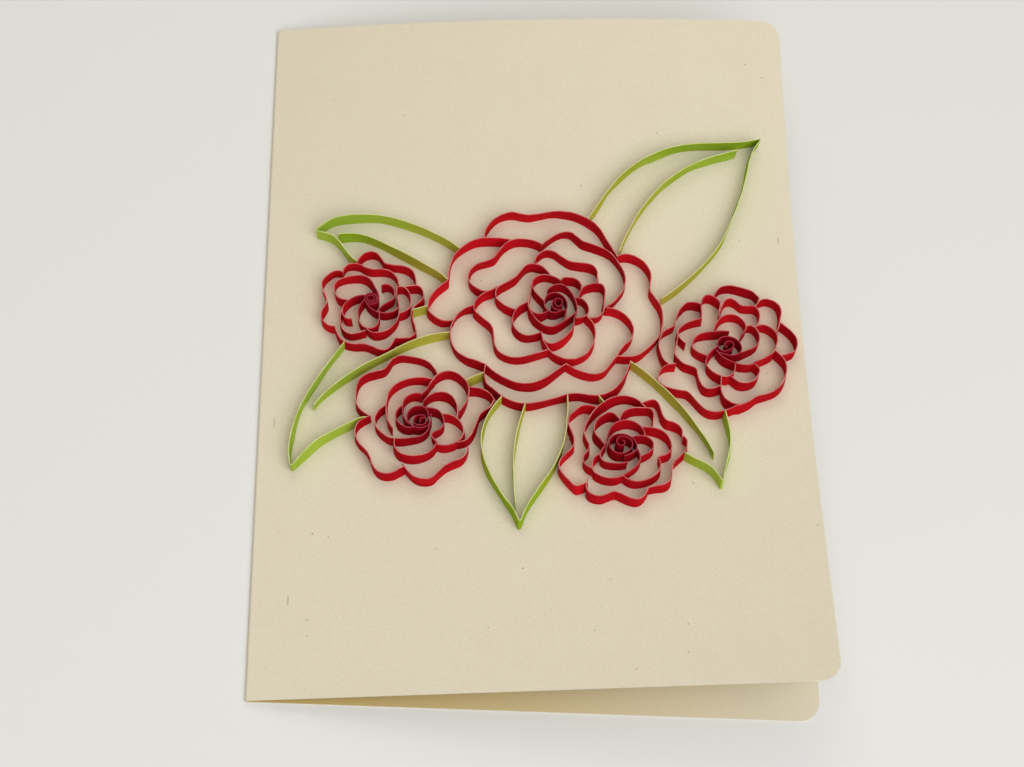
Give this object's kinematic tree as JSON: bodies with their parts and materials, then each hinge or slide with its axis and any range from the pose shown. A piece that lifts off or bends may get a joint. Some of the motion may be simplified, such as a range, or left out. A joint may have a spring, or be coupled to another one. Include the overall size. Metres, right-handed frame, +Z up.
{
  "type": "quilled paper flower",
  "caption": "Folded greeting card with rolled and bent paper strips standing on edge as a spray of roses and leaves on its front.",
  "frame": {"origin": "middle of the closed side's underside, the fold counted in", "axes": "+X from the fold to the free edges, +Y up the card's front as it is read, +Z up off the table the card lies on"},
  "size_m": [0.1055, 0.148, 0.0221],
  "materials": {
    "card_stock_cream": "matt uncoated recycled card",
    "red_quilling_paper": "matt dyed paper",
    "green_quilling_paper": "matt dyed paper"
  },
  "bodies": {
    "root": {"bottom_leaf_midrib": "green_quilling_paper", "bottom_leaf_outline": "green_quilling_paper", "folded_card": "card_stock_cream", "large_rose_bottom_inner_petal": "red_quilling_paper", "large_rose_bottom_petal": "red_quilling_paper", "large_rose_heart_left_petal": "red_quilling_paper", "large_rose_heart_ring": "red_quilling_paper", "large_rose_heart_wrap": "red_quilling_paper", "large_rose_left_inner_petal": "red_quilling_paper", "large_rose_lower_left_petal": "red_quilling_paper", "large_rose_lower_right_petal": "red_quilling_paper", "large_rose_right_petal": "red_quilling_paper", "large_rose_small_left_petal": "red_quilling_paper", "large_rose_third_top_petal": "red_quilling_paper", "large_rose_upper_left_petal": "red_quilling_paper", "large_rose_upper_right_petal": "red_quilling_paper", "left_leaf_midrib": "green_quilling_paper", "left_leaf_outline": "green_quilling_paper", "lower_left_rose_arch_petal": "red_quilling_paper", "lower_left_rose_bottom_petal": "red_quilling_paper", "lower_left_rose_heart_coil": "red_quilling_paper", "lower_left_rose_inner_arch_petal": "red_quilling_paper", "lower_left_rose_right_petal": "red_quilling_paper", "lower_left_rose_saucer_petal": "red_quilling_paper", "lower_left_rose_side_petal": "red_quilling_paper", "lower_left_rose_upper_petal": "red_quilling_paper", "lower_right_rose_bottom_petal": "red_quilling_paper", "lower_right_rose_bowl_petal": "red_quilling_paper", "lower_right_rose_heart_coil": "red_quilling_paper", "lower_right_rose_left_inner_petal": "red_quilling_paper", "lower_right_rose_lower_inner_petal": "red_quilling_paper", "lower_right_rose_lower_right_petal": "red_quilling_paper", "lower_right_rose_ring_petal": "red_quilling_paper", "lower_right_rose_top_petal": "red_quilling_paper", "right_leaf_midrib": "green_quilling_paper", "right_leaf_outline": "green_quilling_paper", "right_rose_bottom_left_petal": "red_quilling_paper", "right_rose_bottom_petal": "red_quilling_paper", "right_rose_heart_coil": "red_quilling_paper", "right_rose_heart_left_petal": "red_quilling_paper", "right_rose_heart_lower_petal": "red_quilling_paper", "right_rose_inner_left_petal": "red_quilling_paper", "right_rose_inner_right_petal": "red_quilling_paper", "right_rose_second_top_petal": "red_quilling_paper", "right_rose_upper_right_petal": "red_quilling_paper", "stem_by_lower_left_rose": "green_quilling_paper", "stem_by_lower_right_rose": "green_quilling_paper", "stem_by_upper_left_rose": "green_quilling_paper", "upper_left_leaf_midrib": "green_quilling_paper", "upper_left_leaf_outline": "green_quilling_paper", "upper_left_rose_bowl_petal": "red_quilling_paper", "upper_left_rose_heart_coil": "red_quilling_paper", "upper_left_rose_heart_petal": "red_quilling_paper", "upper_left_rose_lower_outer_petal": "red_quilling_paper", "upper_left_rose_lower_right_petal": "red_quilling_paper", "upper_left_rose_outer_top_petal": "red_quilling_paper", "upper_left_rose_under_petal": "red_quilling_paper", "upper_right_leaf_midrib": "green_quilling_paper", "upper_right_leaf_outline": "green_quilling_paper"}
  },
  "joints": []
}
